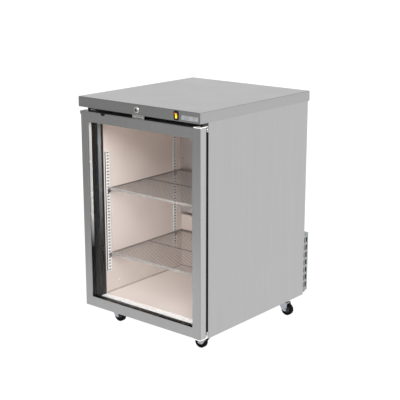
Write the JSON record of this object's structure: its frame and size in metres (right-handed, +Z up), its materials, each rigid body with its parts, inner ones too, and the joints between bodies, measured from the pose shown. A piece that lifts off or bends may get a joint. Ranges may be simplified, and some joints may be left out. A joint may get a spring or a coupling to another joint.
{
  "type": "under counter fridge",
  "caption": "Under-counter display fridge: stainless cabinet with a glass door, wire shelves, key lock and lit switch, rolling on swivel casters.",
  "frame": {"origin": "on the floor, under the centre of the whole fridge", "axes": "+X to the right seen from the door side, +Y from the door to the machine compartment at the back, +Z up"},
  "size_m": [0.61, 0.72, 0.935],
  "materials": {
    "brushed_steel": "satin brushed stainless sheet",
    "door_steel": "satin brushed stainless, vertical grain",
    "galvanised_steel": "galvanised sheet, faint spangle",
    "white_liner": "satin white moulded liner",
    "bright_steel": "bright plated steel",
    "black_plastic": "satin black extrusion",
    "gasket_rubber": "matt black magnetic gasket",
    "clear_glass": "clear float glass",
    "spacer_aluminium": "bright folded aluminium bar",
    "shelf_wire": "plated and clear-coated wire",
    "zinc_plate": "zinc plated pressing",
    "insulation_foam": "closed-cell rigid foam",
    "coil_fins": "aluminium fins",
    "black_enamel": "gloss black enamel",
    "amber_rocker": "translucent amber plastic",
    "badge_plate": "satin printed plate, left blank",
    "caster_tyre": "black moulded tread",
    "fan_plastic": "black moulded blades",
    "light_diffuser": "opal diffuser",
    "tray_plastic": "grey moulded tray"
  },
  "bodies": {
    "cabinet": {"back_panel": "galvanised_steel", "badge_plate": "badge_plate", "bottom_pan": "galvanised_steel", "breaker_frame": "black_plastic", "caster_rail_left": "galvanised_steel", "caster_rail_right": "galvanised_steel", "compressor": "black_enamel", "condensate_tray": "tray_plastic", "condenser_coil": "coil_fins", "cord_gland": "black_plastic", "evaporator_coil": "coil_fins", "evaporator_cover": "brushed_steel", "front_frame": "brushed_steel", "front_sill": "bright_steel", "hinge_bracket_bottom": "bright_steel", "hinge_bracket_top": "bright_steel", "inner_liner": "white_liner", "insulation_foam": "insulation_foam", "interior_light": "light_diffuser", "liner_back_wall": "white_liner", "lock_housing": "bright_steel", "pilaster_front_left": "bright_steel", "pilaster_front_right": "bright_steel", "pilaster_rear_left": "bright_steel", "pilaster_rear_right": "bright_steel", "rear_cover": "galvanised_steel", "recess_trim": "black_plastic", "shelf_clip_lower_front_left": "zinc_plate", "shelf_clip_lower_front_right": "zinc_plate", "shelf_clip_lower_rear_left": "zinc_plate", "shelf_clip_lower_rear_right": "zinc_plate", "shelf_clip_upper_front_left": "zinc_plate", "shelf_clip_upper_front_right": "zinc_plate", "shelf_clip_upper_rear_left": "zinc_plate", "shelf_clip_upper_rear_right": "zinc_plate", "side_panel_left": "brushed_steel", "side_panel_right": "brushed_steel", "switch_bezel": "black_plastic", "worktop": "brushed_steel"},
    "door": {"door_frame": "door_steel", "outer_glass": "clear_glass", "inner_glass": "clear_glass", "glass_spacer": "spacer_aluminium", "door_inner_frame": "black_plastic", "door_gasket": "gasket_rubber", "strike_plate": "bright_steel"},
    "lock": {"lock_cylinder": "bright_steel"},
    "rocker": {"rocker_switch": "amber_rocker"},
    "upper_shelf": {"shelf_upper": "shelf_wire"},
    "lower_shelf": {"shelf_lower": "shelf_wire"},
    "evaporator_fan": {"evaporator_fan": "fan_plastic"},
    "condenser_fan": {"condenser_fan": "fan_plastic"},
    "front_left_fork": {"caster_fork_front_left": "zinc_plate"},
    "front_left_wheel": {"caster_wheel_front_left": "caster_tyre"},
    "front_right_fork": {"caster_fork_front_right": "zinc_plate"},
    "front_right_wheel": {"caster_wheel_front_right": "caster_tyre"},
    "rear_left_fork": {"caster_fork_rear_left": "zinc_plate"},
    "rear_left_wheel": {"caster_wheel_rear_left": "caster_tyre"},
    "rear_right_fork": {"caster_fork_rear_right": "zinc_plate"},
    "rear_right_wheel": {"caster_wheel_rear_right": "caster_tyre"}
  },
  "joints": [
    {"name": "door_hinge", "type": "hinge", "parent": "cabinet", "child": "door", "pos_m": [0.291, -0.326, 0.481], "axis": [0, 0, 1], "range_deg": [0, 110]},
    {"name": "lock_turn", "type": "hinge", "parent": "cabinet", "child": "lock", "pos_m": [0.002, -0.346, 0.913], "axis": [0, -1, 0], "range_deg": [0, 90]},
    {"name": "light_switch_rock", "type": "hinge", "parent": "cabinet", "child": "rocker", "pos_m": [0.196, -0.352, 0.915], "axis": [1, 0, 0], "range_deg": [0, 14]},
    {"name": "upper_shelf_lift", "type": "slide", "parent": "cabinet", "child": "upper_shelf", "axis": [0, 0, 1], "range_m": [0, 0.025]},
    {"name": "lower_shelf_lift", "type": "slide", "parent": "cabinet", "child": "lower_shelf", "axis": [0, 0, 1], "range_m": [0, 0.025]},
    {"name": "evaporator_fan_spin", "type": "hinge", "parent": "cabinet", "child": "evaporator_fan", "pos_m": [0, 0.2245, 0.705], "axis": [0, 1, 0], "continuous": true},
    {"name": "condenser_fan_spin", "type": "hinge", "parent": "cabinet", "child": "condenser_fan", "pos_m": [-0.15, 0.318, 0.198], "axis": [0, 1, 0], "continuous": true},
    {"name": "front_left_swivel", "type": "hinge", "parent": "cabinet", "child": "front_left_fork", "pos_m": [-0.244, -0.24, 0.064], "axis": [0, 0, 1], "continuous": true},
    {"name": "front_left_roll", "type": "hinge", "parent": "front_left_fork", "child": "front_left_wheel", "pos_m": [-0.216, -0.24, 0.0255], "axis": [0, 1, 0], "continuous": true},
    {"name": "front_right_swivel", "type": "hinge", "parent": "cabinet", "child": "front_right_fork", "pos_m": [0.244, -0.24, 0.064], "axis": [0, 0, 1], "continuous": true},
    {"name": "front_right_roll", "type": "hinge", "parent": "front_right_fork", "child": "front_right_wheel", "pos_m": [0.216, -0.24, 0.0255], "axis": [0, 1, 0], "continuous": true},
    {"name": "rear_left_swivel", "type": "hinge", "parent": "cabinet", "child": "rear_left_fork", "pos_m": [-0.244, 0.253, 0.064], "axis": [0, 0, 1], "continuous": true},
    {"name": "rear_left_roll", "type": "hinge", "parent": "rear_left_fork", "child": "rear_left_wheel", "pos_m": [-0.272, 0.253, 0.0255], "axis": [0, 1, 0], "continuous": true},
    {"name": "rear_right_swivel", "type": "hinge", "parent": "cabinet", "child": "rear_right_fork", "pos_m": [0.244, 0.253, 0.064], "axis": [0, 0, 1], "continuous": true},
    {"name": "rear_right_roll", "type": "hinge", "parent": "rear_right_fork", "child": "rear_right_wheel", "pos_m": [0.272, 0.253, 0.0255], "axis": [0, 1, 0], "continuous": true}
  ]
}
